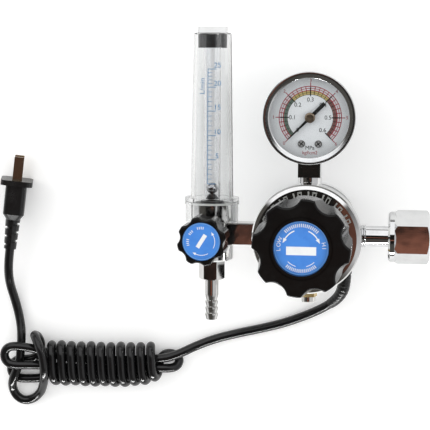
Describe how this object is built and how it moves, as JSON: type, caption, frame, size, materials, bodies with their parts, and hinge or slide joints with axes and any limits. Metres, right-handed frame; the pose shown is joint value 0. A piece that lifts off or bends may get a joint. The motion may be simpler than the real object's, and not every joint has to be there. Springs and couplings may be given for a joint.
{
  "type": "gas regulator",
  "caption": "Heated gas regulator with a dial pressure gauge, flow tube with float, hexagon inlet nut, hose tail and a hanked mains lead.",
  "frame": {"origin": "centre of the back cover's flat face, on the axis of the pressure knob", "axes": "+Z out of the pressure knob, +X towards the inlet nut along its thread, +Y towards the gauge"},
  "size_m": [0.2946, 0.2653, 0.112],
  "materials": {
    "chrome_plate": "bright nickel-chrome plate over brass",
    "plated_body": "cast brass, bright plated",
    "brass_metal": "machined brass",
    "steel_metal": "plain bright steel",
    "housing_paint": "die-cast alloy, satin",
    "gauge_case_paint": "black enamelled pressed steel",
    "heater_alloy": "cast alloy",
    "sintered_bronze": "sintered bronze",
    "black_plastic_gloss": "glossy black moulding",
    "black_plastic_matt": "black moulding",
    "soft_rubber": "black rubber",
    "nylon_white": "white nylon",
    "label_blue": "printed blue label",
    "clear_plastic": "clear moulded plastic",
    "dial_face": "silver-white printed dial",
    "pointer_black": "black enamel",
    "cord_pvc": "glossy black vinyl"
  },
  "bodies": {
    "regulator": {"back_cover": "housing_paint", "back_cover_screws": "steel_metal", "bonnet": "chrome_plate", "bourdon_tube": "brass_metal", "clamp_ring": "steel_metal", "cord_gland": "black_plastic_matt", "cord_hank": "cord_pvc", "cord_lead": "cord_pvc", "cord_run": "cord_pvc", "cover_seal": "soft_rubber", "dial_screws": "steel_metal", "diaphragm": "soft_rubber", "float_nozzle": "black_plastic_matt", "flow_block": "chrome_plate", "flow_cover": "clear_plastic", "gauge_bezel": "chrome_plate", "gauge_case": "gauge_case_paint", "gauge_dial": "dial_face", "gauge_lens": "clear_plastic", "gauge_socket": "brass_metal", "heater_block": "heater_alloy", "heater_housing": "housing_paint", "heating_elements": "heater_alloy", "hose_tail": "chrome_plate", "housing_screws": "steel_metal", "inlet_filter": "sintered_bronze", "inlet_stem": "chrome_plate", "main_spring": "steel_metal", "measuring_tube": "clear_plastic", "movement_frame": "brass_metal", "needle_gland": "chrome_plate", "outlet_arm": "chrome_plate", "plug_blades": "brass_metal", "plug_body": "cord_pvc", "poppet_spring": "steel_metal", "regulator_body": "plated_body", "relief_body": "brass_metal", "relief_cap": "chrome_plate", "relief_spring": "steel_metal", "sealing_washer": "nylon_white", "terminal_block": "black_plastic_matt", "thermostat": "steel_metal", "tube_stopper": "soft_rubber", "valve_seat": "brass_metal"},
    "spring_carrier": {"spring_button": "brass_metal"},
    "pressure_knob_set": {"pressure_knob": "black_plastic_gloss", "pressure_knob_label": "label_blue", "adjusting_screw": "steel_metal"},
    "valve_train": {"diaphragm_plate": "brass_metal", "poppet": "brass_metal"},
    "nut_ring": {"slip_ring": "steel_metal"},
    "nut": {"inlet_nut": "chrome_plate"},
    "gauge_needle": {"gauge_pointer": "pointer_black"},
    "gauge_gear": {"gauge_sector": "brass_metal"},
    "relief_plunger": {"relief_disc": "soft_rubber"},
    "needle_ring": {"needle_seal": "soft_rubber"},
    "flow_knob_set": {"flow_knob": "black_plastic_gloss", "flow_knob_label": "label_blue", "flow_needle": "steel_metal"},
    "float": {"float_ball": "steel_metal"}
  },
  "joints": [
    {"name": "screw_travel", "type": "slide", "parent": "regulator", "child": "spring_carrier", "axis": [0, 0, 1], "range_m": [-0.0075, 0], "deforming": ["main_spring"]},
    {"name": "knob_turn", "type": "hinge", "parent": "spring_carrier", "child": "pressure_knob_set", "pos_m": [0, 0, 0.1], "axis": [0, 0, 1], "range_deg": [-1800, 0]},
    {"name": "valve_lift", "type": "slide", "parent": "regulator", "child": "valve_train", "axis": [0, 0, 1], "range_m": [-0.0008, 0], "stiffness_N_per_m": 3000, "springref_m": 0.001, "deforming": ["poppet_spring", "diaphragm"]},
    {"name": "nut_shift", "type": "slide", "parent": "regulator", "child": "nut_ring", "axis": [1, 0, 0], "range_m": [-0.012, 0]},
    {"name": "nut_spin", "type": "hinge", "parent": "nut_ring", "child": "nut", "pos_m": [0.06, 0, 0.046], "axis": [1, 0, 0], "continuous": true},
    {"name": "pointer_turn", "type": "hinge", "parent": "regulator", "child": "gauge_needle", "pos_m": [0, 0.0754, 0.05], "axis": [0, 0, 1], "range_deg": [-270, 0], "stiffness_Nm_per_rad": 0.0002},
    {"name": "sector_turn", "type": "hinge", "parent": "regulator", "child": "gauge_gear", "pos_m": [-0.009, 0.0666, 0.042], "axis": [0, 0, 1], "range_deg": [0, 33]},
    {"name": "relief_lift", "type": "slide", "parent": "regulator", "child": "relief_plunger", "axis": [0, -1, 0], "range_m": [0, 0.0008], "stiffness_N_per_m": 1500, "deforming": ["relief_spring"]},
    {"name": "needle_travel", "type": "slide", "parent": "regulator", "child": "needle_ring", "axis": [0, 0, 1], "range_m": [0, 0.00225]},
    {"name": "flow_turn", "type": "hinge", "parent": "needle_ring", "child": "flow_knob_set", "pos_m": [-0.0632, 0, 0.08], "axis": [0, 0, 1], "range_deg": [0, 1080]},
    {"name": "float_rise", "type": "slide", "parent": "regulator", "child": "float", "axis": [0, 1, 0], "range_m": [0, 0.088]}
  ],
  "couplings": [
    {"joint": "screw_travel", "follows": "knob_turn", "m_per_rad": 0.0002387},
    {"joint": "needle_travel", "follows": "flow_turn", "m_per_rad": 0.0001193},
    {"joint": "sector_turn", "follows": "pointer_turn", "ratio": -0.12}
  ]
}
